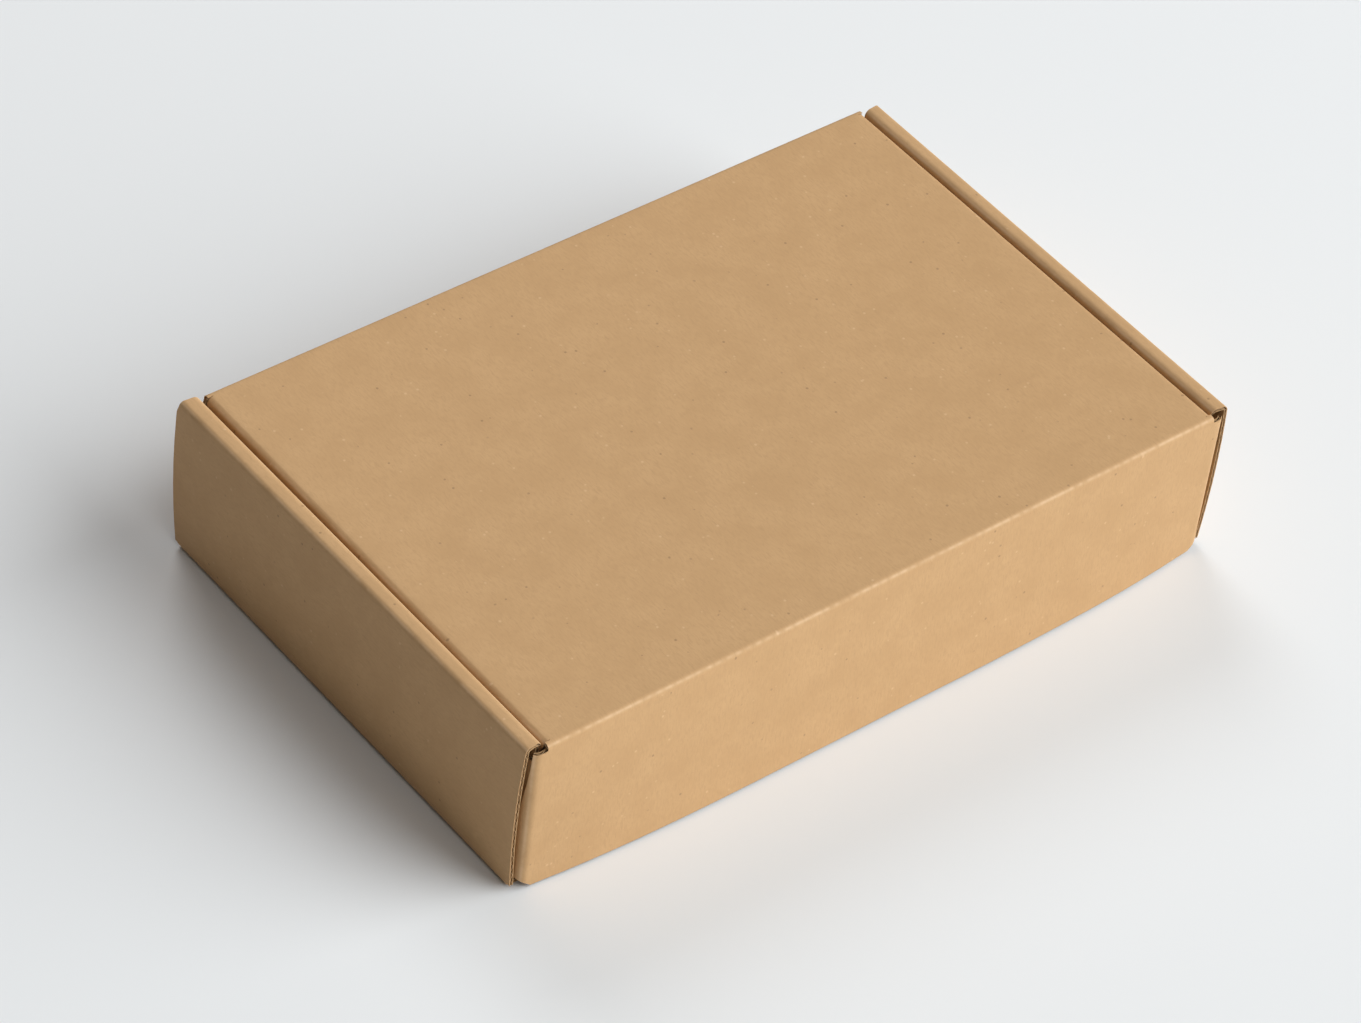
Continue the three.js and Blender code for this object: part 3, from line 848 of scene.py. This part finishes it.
for piece, node in ((tray, "tray"), (lid, "lid"), (flap, "front_flap")):
    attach(piece, node)
    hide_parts(node)
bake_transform(lid_strip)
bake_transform(flap_strip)

# Floor, light and camera, in metres. The floor lies a hair under the box, whose base swells a little.
FLOOR_SIZE = 6.0
FLOOR_DROP = 0.00025
FLOOR_COLOUR = (0.80, 0.81, 0.815, 1)
# Each lamp: name, place, size, power and colour
LAMPS = [
    ("window", (3.58, -3.69, 3.09), 7.4, 612, (0.955, 0.983, 1.0)),
    ("ceiling", (-0.87, -2.22, 4.39), 1.8, 26, (1, 0.99, 0.97)),
    ("far_window", (1.24, 3.48, 3.37), 2.6, 82, (0.99, 0.99, 1)),
]
ROOM_LIGHT = 0.093
ROOM_COLOUR = (1, 0.96, 0.91, 1)
SURROUND_COLOUR = (0.83, 0.84, 0.845, 1)
# The photograph's viewpoint, fitted to the corners of the box
CAMERA_PLACE = (-0.78975, -0.80856, 1.07907)
CAMERA_RIGHT = (0.780060, -0.617011, 0.103944)
CAMERA_DOWN = (-0.368951, -0.587745, -0.720021)
CAMERA_AHEAD = (0.505354, 0.523309, -0.686123)
CAMERA_LENS = 144.81
CAMERA_SENSOR = 36


def make_floor():
    sheet = bmesh.new()
    bmesh.ops.create_grid(sheet, x_segments=1, y_segments=1, size=FLOOR_SIZE)
    bmesh.ops.translate(sheet, vec=(0, 0, -FLOOR_DROP), verts=sheet.verts)
    mesh = bpy.data.meshes.new("floor")
    sheet.to_mesh(mesh)
    sheet.free()
    floor = bpy.data.objects.new("floor", mesh)
    bpy.context.scene.collection.objects.link(floor)
    material = bpy.data.materials.new("Table top")
    material.use_nodes = True
    shader = material.node_tree.nodes["Principled BSDF"]
    shader.inputs["Base Color"].default_value = FLOOR_COLOUR
    shader.inputs["Roughness"].default_value = 0.9
    shader.inputs["Specular IOR Level"].default_value = 0.1
    mesh.materials.append(material)


def make_light(name, place, size, power, colour):
    """A round soft lamp that shines at the box."""
    data = bpy.data.lights.new(name, "AREA")
    data.shape = "DISK"
    data.size = size
    data.energy = power
    data.color = colour
    light = bpy.data.objects.new(name, data)
    light.location = place
    light.rotation_euler = (-Vector(place)).to_track_quat("-Z", "Y").to_euler()
    bpy.context.scene.collection.objects.link(light)


def make_world():
    """Even light from all round, and a pale surround where the camera sees past the floor."""
    world = bpy.data.worlds.new("Room")
    bpy.context.scene.world = world
    world.use_nodes = True
    tree = world.node_tree
    tree.nodes.clear()
    out = tree.nodes.new("ShaderNodeOutputWorld")
    light = shader_node(tree, "ShaderNodeBackground", {"Color": ROOM_COLOUR, "Strength": ROOM_LIGHT})
    seen = shader_node(tree, "ShaderNodeBackground", {"Color": SURROUND_COLOUR, "Strength": 1.0})
    path = tree.nodes.new("ShaderNodeLightPath")
    mix = shader_node(tree, "ShaderNodeMixShader", {0: path.outputs["Is Camera Ray"],
                                                    1: light.outputs[0], 2: seen.outputs[0]})
    tree.links.new(mix.outputs[0], out.inputs[0])


def make_camera():
    right, down, ahead = Vector(CAMERA_RIGHT), Vector(CAMERA_DOWN), Vector(CAMERA_AHEAD)
    data = bpy.data.cameras.new("camera")
    data.sensor_width = CAMERA_SENSOR
    data.lens = CAMERA_LENS
    camera = bpy.data.objects.new("camera", data)
    turn = Matrix((right, -down, -ahead)).transposed().to_4x4()
    camera.matrix_world = Matrix.Translation(Vector(CAMERA_PLACE)) @ turn
    bpy.context.scene.collection.objects.link(camera)
    bpy.context.scene.camera = camera


make_floor()
for lamp in LAMPS:
    make_light(*lamp)
make_world()
make_camera()
bpy.context.scene.view_settings.view_transform = "Standard"
